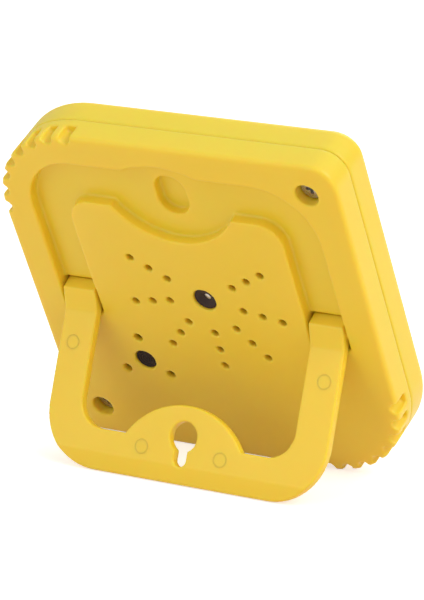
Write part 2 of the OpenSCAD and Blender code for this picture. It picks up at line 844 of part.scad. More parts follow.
module speaker_magnet() {
    magnet_t = 1.4;
    pole_h = 0.8;
    color([0.3, 0.3, 0.32]) placed() {
        drum(vent_x, vent_z, basket_back, magnet_t, magnet_d / 2);
        drum(vent_x, vent_z, basket_back + pole_h, pole_h + sunk, coil_r - 0.6);
    }
}

module speaker_screen() {
    color([0.05, 0.05, 0.05]) placed()
    plate(rear_inner, screen_t)
        difference() {
            translate([vent_x, vent_z]) circle(r = speaker_d / 2 - ledge_w);
            translate([0, hinge_z]) stand_plan(stand_gap + floor_wall + fit);
        }
}

module speaker_pins() {
    pin_turn = 12;
    pin_in = 2;
    top = -speaker_seat - flange_t;
    color([0.85, 0.7, 0.35]) placed()
    for (s = [-1, 1])
        translate([vent_x, 0, vent_z])
            rotate([0, s * pin_turn, 0])
                drum(0, pin_in - speaker_d / 2, top, top - board_back, 0.8);
}

module microphone_boot() {
    color([0.12, 0.12, 0.12]) placed()
    difference() {
        drum(mic_x, mic_z, rear_inner, capsule_t + 2 * screen_t, boot_r);
        drum(mic_x, mic_z, rear_inner + beyond, capsule_t + 2 * screen_t + 2 * beyond, boot_r - boot_t);
    }
}

module microphone_capsule() {
    color(steel) placed()
    drum(mic_x, mic_z, capsule_front, capsule_t, capsule_d / 2);
}

module microphone_screen() {
    color([0.05, 0.05, 0.05]) placed()
    drum(mic_x, mic_z, rear_inner, screen_t, capsule_d / 2);
}

module microphone_leads() {
    lead_r = 0.3;
    lead_x = 1.27;
    top = capsule_front - capsule_t;
    color(steel) placed()
    for (s = [-1, 1])
        drum(mic_x + s * lead_x, mic_z, top, top - board_back, lead_r);
}

module battery_cells() {
    nub = 0.9;
    nub_r = 1.9;
    color([0.2, 0.45, 0.3]) placed()
    for (i = [0, 1])
        translate([(cell_x + cell_right) / 2, cell_y, cell_low_z + i * cell_pitch])
            mirror([1 - i, 0, 0])
                rotate([0, 90, 0]) {
                    translate([0, 0, -cell_l / 2]) cylinder(h = cell_l - nub, r = cell_d / 2);
                    translate([0, 0, cell_l / 2 - nub - sunk]) cylinder(h = nub + sunk, r = nub_r);
                }
}

// Contact plates on the ribs, each with a boss that reaches its cell
module battery_contacts() {
    strip_y = 5;
    strip_z = 3;
    boss_r = 1.6;
    color([0.8, 0.78, 0.7]) placed()
    for (i = [0, 1], s = [-1, 1]) {
        cell_z = cell_low_z + i * cell_pitch;
        high = i == 1 ? board_bottom - cell_z : strip_z;
        end_x = s < 0 ? cell_x - contact_room : cell_right + contact_room - plate_t;
        boss_x = s < 0 ? cell_x - contact_room : cell_right;
        translate([end_x, cell_y - strip_y / 2, cell_z - strip_z]) cube([plate_t, strip_y, high + strip_z]);
        translate([boss_x, cell_y, cell_z]) rotate([0, 90, 0]) cylinder(h = contact_room, r = boss_r);
    }
}

rear_case();
front_case();
stand();
case_screws();
display_window();
lcd_glass();
lcd_frame();
lcd_pins();
main_board();
board_screws();
controller_chip();
board_capacitors();
keypad_mat();
button_power();
button_mode();
button_up();
button_down();
speaker_frame();
speaker_cone();
voice_coil();
speaker_magnet();
speaker_screen();
speaker_pins();
microphone_boot();
microphone_capsule();
microphone_screen();
microphone_leads();
battery_cells();
battery_contacts();
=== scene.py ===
"""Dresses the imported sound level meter: rounded yellow mouldings, display, keys and a plain studio.

Everything is worked out in the case's own axes in millimetres (X to the right as seen from the
front, Y to the rear, Z up the case, rear face at Y = 0) and then carried to the leaning frame.
"""

from __future__ import annotations

import json
import logging
import math
from dataclasses import dataclass, field
from enum import Enum
from typing import Any

import bmesh
import bpy
import numpy as np
from mathutils import Matrix, Vector

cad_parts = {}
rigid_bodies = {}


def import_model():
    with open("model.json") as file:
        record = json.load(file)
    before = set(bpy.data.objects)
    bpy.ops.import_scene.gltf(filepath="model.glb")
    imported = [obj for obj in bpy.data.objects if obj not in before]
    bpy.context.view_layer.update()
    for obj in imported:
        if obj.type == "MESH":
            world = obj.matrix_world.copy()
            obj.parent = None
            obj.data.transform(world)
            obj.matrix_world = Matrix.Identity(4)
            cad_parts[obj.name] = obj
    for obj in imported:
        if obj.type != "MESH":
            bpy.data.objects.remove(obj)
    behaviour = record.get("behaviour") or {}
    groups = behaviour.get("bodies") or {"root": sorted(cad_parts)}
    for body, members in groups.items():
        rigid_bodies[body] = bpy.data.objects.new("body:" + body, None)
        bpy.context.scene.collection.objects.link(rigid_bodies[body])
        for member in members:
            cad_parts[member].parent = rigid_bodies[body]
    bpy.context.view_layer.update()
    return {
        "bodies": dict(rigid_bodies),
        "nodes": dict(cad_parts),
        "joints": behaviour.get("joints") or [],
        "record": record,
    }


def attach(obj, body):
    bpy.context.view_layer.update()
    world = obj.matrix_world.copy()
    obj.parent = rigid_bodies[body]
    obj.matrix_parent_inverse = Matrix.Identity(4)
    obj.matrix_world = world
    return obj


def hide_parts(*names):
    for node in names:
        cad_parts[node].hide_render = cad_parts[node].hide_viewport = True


LOG = logging.getLogger("meter")
MM = 0.001
WELD_M = 1e-7
NOISE_MIDDLE = 0.5
# Sockets of a colour Mix node, by number because their names repeat
MIX_FACTOR, MIX_LOW, MIX_HIGH, MIX_RESULT = 0, 6, 7, 2

Array = np.ndarray
Pair = tuple[float, float]
Triple = tuple[float, float, float]
Colour = Triple
Shape = tuple[Array, list[list[int]]]


class Body(Enum):
    """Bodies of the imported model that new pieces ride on."""

    CASE = "case"
    STAND = "stand"
    POWER = "button_power"
    MODE = "button_mode"
    UP = "button_up"
    DOWN = "button_down"


class Slot(Enum):
    """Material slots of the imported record."""

    YELLOW = "yellow_plastic"
    WINDOW = "clear_window"
    LCD = "lcd"
    WHITE = "white_plastic"
    BOARD = "board"
    BLACK = "black_plastic"
    STEEL = "steel"
    BRASS = "brass"
    RUBBER = "rubber"
    KEY_RED = "key_red"
    KEY_GREY = "key_grey"
    MESH = "mesh"
    CELL = "cell_sleeve"
    MAGNET = "magnet"


Finishes = tuple[tuple[str, Slot], ...]


# Shader building


@dataclass(frozen=True)
class Socket:
    """An output socket whose operators add Math nodes to its material."""

    shader: Shader
    link: Any

    def _math(self, operation: str, first: Any, second: Any = 0.0) -> Socket:
        """Adds one Math node.

        Args:
            operation: the node's operation.
            first: first value or socket.
            second: second value or socket.

        Returns:
            The node's output.
        """
        return self.shader.add("ShaderNodeMath", {"operation": operation}, {0: first, 1: second})

    def __add__(self, other: Any) -> Socket:
        """Sum."""
        return self._math("ADD", self, other)

    __radd__ = __add__

    def __sub__(self, other: Any) -> Socket:
        """Difference."""
        return self._math("SUBTRACT", self, other)

    def __rsub__(self, other: Any) -> Socket:
        """Reflected difference."""
        return self._math("SUBTRACT", other, self)

    def __mul__(self, other: Any) -> Socket:
        """Product."""
        return self._math("MULTIPLY", self, other)

    __rmul__ = __mul__

    def above(self, other: Any) -> Socket:
        """One where this is greater than the other, else zero."""
        return self._math("GREATER_THAN", self, other)

    def wave(self) -> Socket:
        """Sine."""
        return self._math("SINE", self)

    def beside(self, name: str) -> Socket:
        """Another output of the same node."""
        return Socket(self.shader, self.link.node.outputs[name])


class Shader:
    """A material and the one method that adds nodes to it."""

    def __init__(self, name: str) -> None:
        """Makes an empty node material.

        Args:
            name: the material's name.
        """
        self.material = bpy.data.materials.new(name)
        self.material.use_nodes = True
        self.tree = self.material.node_tree
        self.tree.nodes.clear()

    def add(
        self,
        kind: str,
        settings: dict[str, Any] | None = None,
        inputs: dict[Any, Any] | None = None,
        out: Any = 0,
    ) -> Socket:
        """Adds a node.

        Args:
            kind: the node's type.
            settings: attributes set first.
            inputs: values or sockets by the input's name or number.
            out: which output to return.

        Returns:
            The chosen output.
        """
        node = self.tree.nodes.new(kind)
        for key, value in (settings or {}).items():
            setattr(node, key, value)
        for key, value in (inputs or {}).items():
            socket = node.inputs[key]
            if isinstance(value, Socket):
                self.tree.links.new(value.link, socket)
            else:
                socket.default_value = value
        return Socket(self, node.outputs[out] if len(node.outputs) else None)

    def coords(self) -> Socket:
        """Object coordinates."""
        return self.add("ShaderNodeTexCoord", out="Object")

    def noise(self, where: Socket, scale: float, detail: float) -> Socket:
        """Noise value from 0 to 1.

        Args:
            where: coordinates.
            scale: cells per metre.
            detail: octaves.

        Returns:
            The noise's value.
        """
        return self.add(
            "ShaderNodeTexNoise", inputs={"Vector": where, "Scale": scale, "Detail": detail}
        )

    def mix(self, factor: Socket, low: Colour, high: Colour) -> Socket:
        """Mixes two colours.

        Args:
            factor: share of the second colour.
            low: first colour.
            high: second colour.

        Returns:
            The mixed colour.
        """
        return self.add(
            "ShaderNodeMix",
            {"data_type": "RGBA"},
            {MIX_FACTOR: factor, MIX_LOW: (*low, 1.0), MIX_HIGH: (*high, 1.0)},
            out=MIX_RESULT,
        )

    def bump(self, height: Socket, strength: float, distance: float) -> Socket:
        """Bump from a height.

        Args:
            height: height from 0 to 1.
            strength: share of the bump.
            distance: height of 1 in metres.

        Returns:
            The bent normal.
        """
        return self.add(
            "ShaderNodeBump", inputs={"Height": height, "Strength": strength, "Distance": distance}
        )

    def close(self, **inputs: Any) -> bpy.types.Material:
        """Ends the material in one Principled shader.

        Args:
            **inputs: its inputs, with spaces as underscores.

        Returns:
            The material.
        """
        named = {key.replace("_", " "): value for key, value in inputs.items()}
        surface = self.add("ShaderNodeBsdfPrincipled", inputs=named)
        self.add("ShaderNodeOutputMaterial", inputs={"Surface": surface})
        return self.material


# Finishes


@dataclass(frozen=True)
class MouldedPlastic:
    """Satin moulded plastic with faint flow clouds and a fine eroded grain."""

    name: str
    colour: Colour
    deep: Colour
    roughness: float = 0.4
    cloud_per_m: float = 55.0
    cloud_tint: float = 0.5
    cloud_rough: float = 0.08
    grain_per_m: float = 2600.0
    grain_tint: float = 0.12
    grain_rough: float = 0.06
    grain_bump: float = 0.35
    grain_height: float = 0.000012
    gloss: float = 0.5
    glow: float = 0.0
    glow_reach: Triple = (1.0, 0.35, 0.03)
    glow_depth: float = 0.004

    def build(self) -> bpy.types.Material:
        """Builds the material."""
        shader = Shader(self.name)
        where = shader.coords()
        cloud = shader.noise(where, self.cloud_per_m, detail=3.0)
        grain = shader.noise(where, self.grain_per_m, detail=2.0)
        tint = cloud * self.cloud_tint + grain * self.grain_tint
        flow = (cloud - NOISE_MIDDLE) * self.cloud_rough
        pits = (grain - NOISE_MIDDLE) * self.grain_rough
        return shader.close(
            Base_Color=shader.mix(tint, self.colour, self.deep),
            Roughness=self.roughness + flow + pits,
            Specular_IOR_Level=self.gloss,
            Subsurface_Weight=self.glow,
            Subsurface_Radius=self.glow_reach,
            Subsurface_Scale=self.glow_depth,
            Normal=shader.bump(grain, self.grain_bump, self.grain_height),
        )


@dataclass(frozen=True)
class BrightMetal:
    """Plated or plain metal with fine drawn streaks."""

    name: str
    colour: Colour
    dull: Colour
    roughness: float = 0.28
    streak_per_m: Triple = (9000.0, 600.0, 9000.0)
    streak_rough: float = 0.2
    streak_bump: float = 0.25
    streak_height: float = 0.00001
    stain_per_m: float = 700.0

    def build(self) -> bpy.types.Material:
        """Builds the material."""
        shader = Shader(self.name)
        where = shader.coords()
        drawn = shader.add(
            "ShaderNodeMapping", inputs={"Vector": where, "Scale": self.streak_per_m}
        )
        streak = shader.noise(drawn, 1.0, detail=3.0)
        stain = shader.noise(where, self.stain_per_m, detail=2.0)
        return shader.close(
            Base_Color=shader.mix(stain, self.colour, self.dull),
            Metallic=1.0,
            Roughness=self.roughness + (streak - NOISE_MIDDLE) * self.streak_rough,
            Normal=shader.bump(streak, self.streak_bump, self.streak_height),
        )


@dataclass(frozen=True)
class SoftRubber:
    """Matte rubber with a powdery bloom."""

    name: str
    colour: Colour
    bloom: Colour
    gloss: float = 0.35
    bloom_per_m: float = 320.0
    roughness: float = 0.55
    grain_per_m: float = 5200.0
    grain_rough: float = 0.2
    grain_bump: float = 0.4
    grain_height: float = 0.00001

    def build(self) -> bpy.types.Material:
        """Builds the material."""
        shader = Shader(self.name)
        where = shader.coords()
        dust = shader.noise(where, self.bloom_per_m, detail=4.0)
        grain = shader.noise(where, self.grain_per_m, detail=2.0)
        return shader.close(
            Base_Color=shader.mix(dust, self.colour, self.bloom),
            Roughness=grain * self.grain_rough + self.roughness,
            Specular_IOR_Level=self.gloss,
            Normal=shader.bump(grain, self.grain_bump, self.grain_height),
        )


@dataclass(frozen=True)
class SolderMask:
    """Green circuit board with traces under a glossy mask."""

    name: str
    colour: Colour
    trace: Colour
    trace_per_m: float = 130.0
    trace_w: float = 0.06
    trace_shift: float = 0.35
    trace_squash: float = 1.6
    trace_tint: float = 0.8
    trace_bump: float = 0.3
    trace_height: float = 0.00003
    roughness: float = 0.28
    cloud_per_m: float = 90.0
    cloud_rough: float = 0.1

    def build(self) -> bpy.types.Material:
        """Builds the material."""
        shader = Shader(self.name)
        where = shader.coords()
        brick = shader.add(
            "ShaderNodeTexBrick",
            {"offset": self.trace_shift, "squash": self.trace_squash},
            {"Vector": where, "Scale": self.trace_per_m, "Mortar Size": self.trace_w},
            out="Fac",
        )
        cloud = shader.noise(where, self.cloud_per_m, detail=3.0)
        return shader.close(
            Base_Color=shader.mix(brick * self.trace_tint, self.colour, self.trace),
            Roughness=cloud * self.cloud_rough + self.roughness,
            Normal=shader.bump(brick, self.trace_bump, self.trace_height),
        )


@dataclass(frozen=True)
class FineMesh:
    """Fine woven dust mesh: two crossed sine waves in height and colour."""

    name: str
    colour: Colour
    gap: Colour
    per_m: float = 14000.0
    roughness: float = 0.6
    weave_rough: float = 0.2
    weave_bump: float = 0.5
    weave_height: float = 0.00003

    def build(self) -> bpy.types.Material:
        """Builds the material, with the product of the waves carried from -1..1 to 0..1."""
        shader = Shader(self.name)
        across = shader.add("ShaderNodeSeparateXYZ", inputs={"Vector": shader.coords()})
        along = across.beside("Z")
        weave = (across * self.per_m).wave() * (along * self.per_m).wave() * 0.5 + 0.5
        return shader.close(
            Base_Color=shader.mix(weave, self.gap, self.colour),
            Roughness=weave * self.weave_rough + self.roughness,
            Normal=shader.bump(weave, self.weave_bump, self.weave_height),
        )


@dataclass(frozen=True)
class ClearSheet:
    """Clear window that shows what lies behind it, with a faint haze of wiping."""

    name: str
    tint: Colour
    wiped: Colour
    alpha: float = 0.015
    roughness: float = 0.03
    ior: float = 1.49
    haze_per_m: float = 140.0
    haze_alpha: float = 0.02
    haze_rough: float = 0.05

    def build(self) -> bpy.types.Material:
        """Builds the material."""
        shader = Shader(self.name)
        haze = shader.noise(shader.coords(), self.haze_per_m, detail=4.0)
        material = shader.close(
            Base_Color=shader.mix(haze, self.tint, self.wiped),
            Roughness=haze * self.haze_rough + self.roughness,
            Alpha=haze * self.haze_alpha + self.alpha,
            IOR=self.ior,
        )
        material.surface_render_method = "BLENDED"
        return material


@dataclass(frozen=True)
class LiquidCrystal:
    """Reflective display: a pale green-grey sheet with a fine electrode ruling."""

    name: str
    colour: Colour
    shade: Colour
    shade_share: float = 0.1
    roughness: float = 0.2
    rule_per_m: float = 9000.0
    rule_tint: float = 0.12
    cloud_per_m: float = 40.0
    cloud_tint: float = 0.3
    cloud_rough: float = 0.08

    def build(self) -> bpy.types.Material:
        """Builds the material."""
        shader = Shader(self.name)
        where = shader.coords()
        across = shader.add("ShaderNodeSeparateXYZ", inputs={"Vector": where})
        line = (across * self.rule_per_m).wave()
        cloud = shader.noise(where, self.cloud_per_m, detail=2.0)
        tint = line * self.rule_tint + cloud * self.cloud_tint + self.shade_share
        return shader.close(
            Base_Color=shader.mix(tint, self.colour, self.shade),
            Roughness=cloud * self.cloud_rough + self.roughness,
        )


@dataclass(frozen=True)
class CellSleeve:
    """Shrink sleeve of a cell: two plain colour bands along its length."""

    name: str
    colour: Colour
    band: Colour
    split_m: float = -0.008
    roughness: float = 0.25
    metal: float = 0.1
    scuff_per_m: float = 500.0
    scuff_rough: float = 0.15
    scuff_metal: float = 0.2

    def build(self) -> bpy.types.Material:
        """Builds the material."""
        shader = Shader(self.name)
        where = shader.coords()
        across = shader.add("ShaderNodeSeparateXYZ", inputs={"Vector": where})
        scuff = shader.noise(where, self.scuff_per_m, detail=4.0)
        return shader.close(
            Base_Color=shader.mix(across.above(self.split_m), self.band, self.colour),
            Roughness=scuff * self.scuff_rough + self.roughness,
            Metallic=scuff * self.scuff_metal + self.metal,
        )


FINISHES: dict[Slot, Any] = {
    Slot.YELLOW: MouldedPlastic(
        "yellow_moulding", (0.885, 0.67, 0.055), (0.855, 0.632, 0.04), 0.42, glow=0.4
    ),
    Slot.WINDOW: ClearSheet("clear_window", (0.82, 0.87, 0.88), (0.9, 0.93, 0.94)),
    Slot.LCD: LiquidCrystal("display_glass", (0.44, 0.5, 0.4), (0.36, 0.42, 0.33)),
    Slot.WHITE: MouldedPlastic("display_frame_white", (0.78, 0.78, 0.74), (0.7, 0.7, 0.66)),
    Slot.BOARD: SolderMask("solder_mask", (0.012, 0.13, 0.055), (0.03, 0.2, 0.09)),
    Slot.BLACK: MouldedPlastic(
        "black_moulding", (0.006, 0.006, 0.007), (0.014, 0.014, 0.016), 0.5, gloss=0.2
    ),
    Slot.STEEL: BrightMetal("zinc_plate", (0.62, 0.6, 0.56), (0.4, 0.38, 0.35)),
    Slot.BRASS: BrightMetal("plain_brass", (0.72, 0.5, 0.2), (0.55, 0.36, 0.14)),
    Slot.RUBBER: SoftRubber("dark_rubber", (0.013, 0.006, 0.005), (0.032, 0.015, 0.012)),
    Slot.KEY_RED: MouldedPlastic("key_red", (0.5, 0.03, 0.02), (0.42, 0.022, 0.016), 0.45),
    Slot.KEY_GREY: MouldedPlastic("key_grey", (0.045, 0.048, 0.055), (0.035, 0.037, 0.043), 0.45),
    # Painted glow: the mesh behind the vents is tinted warm orange so that the vents look lit by
    # light passing through and bouncing inside the yellow plastic.
    Slot.MESH: FineMesh("dust_mesh_painted_glow", (0.32, 0.19, 0.03), (0.2, 0.11, 0.015)),
    Slot.CELL: CellSleeve("cell_sleeve", (0.02, 0.12, 0.06), (0.55, 0.5, 0.36)),
    Slot.MAGNET: BrightMetal("magnet_plate", (0.2, 0.2, 0.21), (0.12, 0.12, 0.13), 0.4),
}


# Frame and mesh helpers


@dataclass
class Meter:
    """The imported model, its leaning case axes and its finishes."""

    frame: dict[str, Any]
    hinge_y: float = -1.9
    hinge_z: float = -2.7
    turn: Array = field(init=False)
    shift: Array = field(init=False)
    paints: dict[Slot, bpy.types.Material] = field(init=False)

    def __post_init__(self) -> None:
        """Finds the case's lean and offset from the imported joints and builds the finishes."""
        joints = {j["name"]: j for j in self.frame["joints"]}
        rear = np.array(joints["button_power_press"]["axis"], float)
        hinge = np.array(joints["stand_hinge"]["pos_m"], float) / MM
        up = np.cross([1.0, 0.0, 0.0], rear)
        self.turn = np.stack([[1.0, 0.0, 0.0], rear, up], axis=1)
        self.shift = hinge - self.turn @ np.array([0.0, self.hinge_y, self.hinge_z])
        self.paints = {slot: finish.build() for slot, finish in FINISHES.items()}

    def to_world(self, points: Array) -> Array:
        """Case millimetres to frame metres."""
        return (np.asarray(points, float) @ self.turn.T + self.shift) * MM

    def dress(self, finishes: Finishes) -> None:
        """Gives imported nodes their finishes.

        Args:
            finishes: names of nodes with the slots of their finishes.
        """
        for node, slot in finishes:
            slots = self.frame["nodes"][node].data.materials
            slots.clear()
            slots.append(self.paints[slot])
            LOG.info("%s: %s", node, slot.value)

    def own(self, name: str, mesh: bpy.types.Mesh, body: Body, slot: Slot) -> bpy.types.Object:
        """Makes a piece of a mesh, with its finish, and puts it on its body.

        Args:
            name: the piece's name.
            mesh: its mesh, in the frame.
            body: the body that it rides on.
            slot: the finish's slot.

        Returns:
            The piece.
        """
        mesh.materials.clear()
        mesh.materials.append(self.paints[slot])
        piece = bpy.data.objects.new(name, mesh)
        bpy.context.scene.collection.objects.link(piece)
        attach(piece, body.value)
        LOG.info("%s: on %s", name, body.value)
        return piece

    def piece(
        self, name: str, shape: Shape, body: Body, slot: Slot, smooth: bool = False
    ) -> None:
        """Makes a piece from a shape in case millimetres.

        Args:
            name: the piece's name.
            shape: its points and faces.
            body: the body that it rides on.
            slot: the finish's slot.
            smooth: whether it is shaded smooth.
        """
        points, faces = shape
        mesh = bpy.data.meshes.new(name)
        mesh.from_pydata(self.to_world(points).tolist(), [], faces)
        bm = bmesh.new()
        bm.from_mesh(mesh)
        bmesh.ops.remove_doubles(bm, verts=bm.verts, dist=WELD_M)
        bmesh.ops.recalc_face_normals(bm, faces=bm.faces)
        bm.to_mesh(mesh)
        bm.free()
        mesh.polygons.foreach_set("use_smooth", np.full(len(mesh.polygons), smooth))
        self.own(name, mesh, body, slot)


def grid_faces(rows: int, columns: int) -> list[list[int]]:
    """Quads of a rows by columns grid of points, whose last column joins the first.

    Args:
        rows: number of rows.
        columns: number of columns.

    Returns:
        The quads.
    """
    i, j = np.meshgrid(np.arange(rows - 1), np.arange(columns), indexing="ij")
    k = (j + 1) % columns
    low, high = i * columns, (i + 1) * columns
    return np.stack([low + j, low + k, high + k, high + j], axis=-1).reshape(-1, 4).tolist()


def revolve(profile: Array, centre: Pair, sides: int) -> Shape:
    """Turns a profile about the depth axis.

    A point (radius, depth) goes to the centre plus radius times (cos t, sin t), at its own depth.

    Args:
        profile: N by 2 array of radius and depth.
        centre: X and Z of the axis.
        sides: points around.

    Returns:
        Points and faces.
    """
    angle = np.linspace(0.0, 2.0 * math.pi, sides, endpoint=False)
    x = centre[0] + np.outer(profile[:, 0], np.cos(angle))
    z = centre[1] + np.outer(profile[:, 0], np.sin(angle))
    y = np.repeat(profile[:, 1:], sides, axis=1)
    return np.stack([x, y, z], axis=-1).reshape(-1, 3), grid_faces(len(profile), sides)


def prism(outline: Array, y0: float, y1: float) -> Shape:
    """Carries a flat outline in X and Z straight from depth y0 to depth y1.

    Args:
        outline: N by 2 array.
        y0: first depth.
        y1: second depth.

    Returns:
        Points and faces.
    """
    n = len(outline)
    ends = [np.stack([outline[:, 0], np.full(n, y), outline[:, 1]], axis=-1) for y in (y0, y1)]
    faces = grid_faces(2, n) + [list(range(n)), list(range(2 * n - 1, n - 1, -1))]
    return np.concatenate(ends), faces


def rectangle(x0: float, z0: float, x1: float, z1: float) -> Array:
    """Corners of an upright rectangle, anticlockwise.

    Args:
        x0: left side.
        z0: lower side.
        x1: right side.
        z1: upper side.

    Returns:
        4 by 2 array.
    """
    return np.array([[x0, z0], [x1, z0], [x1, z1], [x0, z1]])


def join(shapes: list[Shape]) -> Shape:
    """Joins shapes into one list of points and faces.

    Args:
        shapes: points and faces of each.

    Returns:
        All points and faces.
    """
    starts = np.cumsum([0] + [len(points) for points, _ in shapes])
    faces = [[v + int(s) for v in f] for (_, fs), s in zip(shapes, starts) for f in fs]
    return np.concatenate([points for points, _ in shapes]), faces


@dataclass(frozen=True)
class SoftSkin:
    """How a moulding's edges are softened: an even skin of small squares, relaxed and thinned.

    Attributes:
        grain: side of the squares, in millimetres.
        passes: how often each point is moved.
        keep: share of the faces that is kept.
        pull: share of the way that a point is moved each time.
        weld_m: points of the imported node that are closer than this, in metres, are merged first.
    """

    grain: float
    passes: int
    keep: float
    pull: float = 0.5
    weld_m: float = 2e-6

    def wrap(self, meter: Meter, node: str, body: Body, slot: Slot) -> None:
        """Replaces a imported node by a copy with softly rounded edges.

        The copy's surface is sampled at the grain. Each point is then moved part of the way to the
        middle of its neighbours, for the number of passes, which rounds edges and leaves flats
        flat. Last, flat areas are thinned.

        Args:
            meter: the model.
            node: the node that the copy stands for.
            body: the body that it rides on.
            slot: the finish's slot.
        """
        mesh = meter.frame["nodes"][node].data.copy()
        bm = bmesh.new()
        bm.from_mesh(mesh)
        bmesh.ops.remove_doubles(bm, verts=bm.verts, dist=self.weld_m)
        bm.to_mesh(mesh)
        bm.free()
        piece = meter.own(node + "_moulding", mesh, body, slot)
        skin = piece.modifiers.new("even_skin", "REMESH")
        skin.mode, skin.voxel_size, skin.use_smooth_shade = "VOXEL", self.grain * MM, True
        soft = piece.modifiers.new("soft_edges", "SMOOTH")
        soft.factor, soft.iterations = self.pull, self.passes
        thin = piece.modifiers.new("thin_flats", "DECIMATE")
        thin.ratio = self.keep
        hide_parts(node)


# Sub-assemblies


@dataclass
class CaseShells:
    """The two halves of the case and their screws."""

    rear_skin: SoftSkin = SoftSkin(0.32, 5, 0.28)
    front_skin: SoftSkin = SoftSkin(0.34, 5, 0.25)
    finishes: Finishes = (("case_screws", Slot.STEEL),)

    def build(self, meter: Meter) -> None:
        """Builds both halves and dresses the screws."""
        self.rear_skin.wrap(meter, "rear_case", Body.CASE, Slot.YELLOW)
        self.front_skin.wrap(meter, "front_case", Body.CASE, Slot.YELLOW)
        meter.dress(self.finishes)


@dataclass
class FoldStand:
    """The fold-out stand and the faint round marks of its mould's pins."""

    skin: SoftSkin = SoftSkin(0.28, 8, 0.5)
    open_deg: float = 133.8
    inner_face: float = -0.6
    mark_r: float = 1.65
    mark_w: float = 0.28
    mark_h: float = 0.025
    mark_sink: float = 0.02
    mark_steps: int = 7
    mark_sides: int = 40
    marks: tuple[Pair, ...] = ((10.6, 33.3), (-10.6, 33.3), (33.9, 11.9), (-33.9, 11.9))

    def from_stand(self, meter: Meter, points: Array) -> Array:
        """Turns points from the folded stand's axes, with the hinge at zero, to the case's axes.

        Args:
            meter: the model.
            points: N by 3 array.

        Returns:
            The turned points.
        """
        angle = math.radians(self.open_deg)
        c, s = math.cos(angle), math.sin(angle)
        turn = np.array([[1.0, 0.0, 0.0], [0.0, c, s], [0.0, -s, c]])
        return points @ turn.T + [0.0, meter.hinge_y, meter.hinge_z]

    def build(self, meter: Meter) -> None:
        """Builds the stand and its marks."""
        self.skin.wrap(meter, "stand", Body.STAND, Slot.YELLOW)
        t = np.linspace(0.0, math.pi, self.mark_steps)
        across = self.mark_r + self.mark_w / 2 * np.cos(t)
        depth = self.inner_face + self.mark_sink - (self.mark_h + self.mark_sink) * np.sin(t)
        bead = np.stack([across, depth], axis=-1)
        bead = np.concatenate([bead, bead[:1]])
        points, faces = join([revolve(bead, spot, self.mark_sides) for spot in self.marks])
        placed = self.from_stand(meter, points), faces
        meter.piece("stand_marks", placed, Body.STAND, Slot.YELLOW, smooth=True)


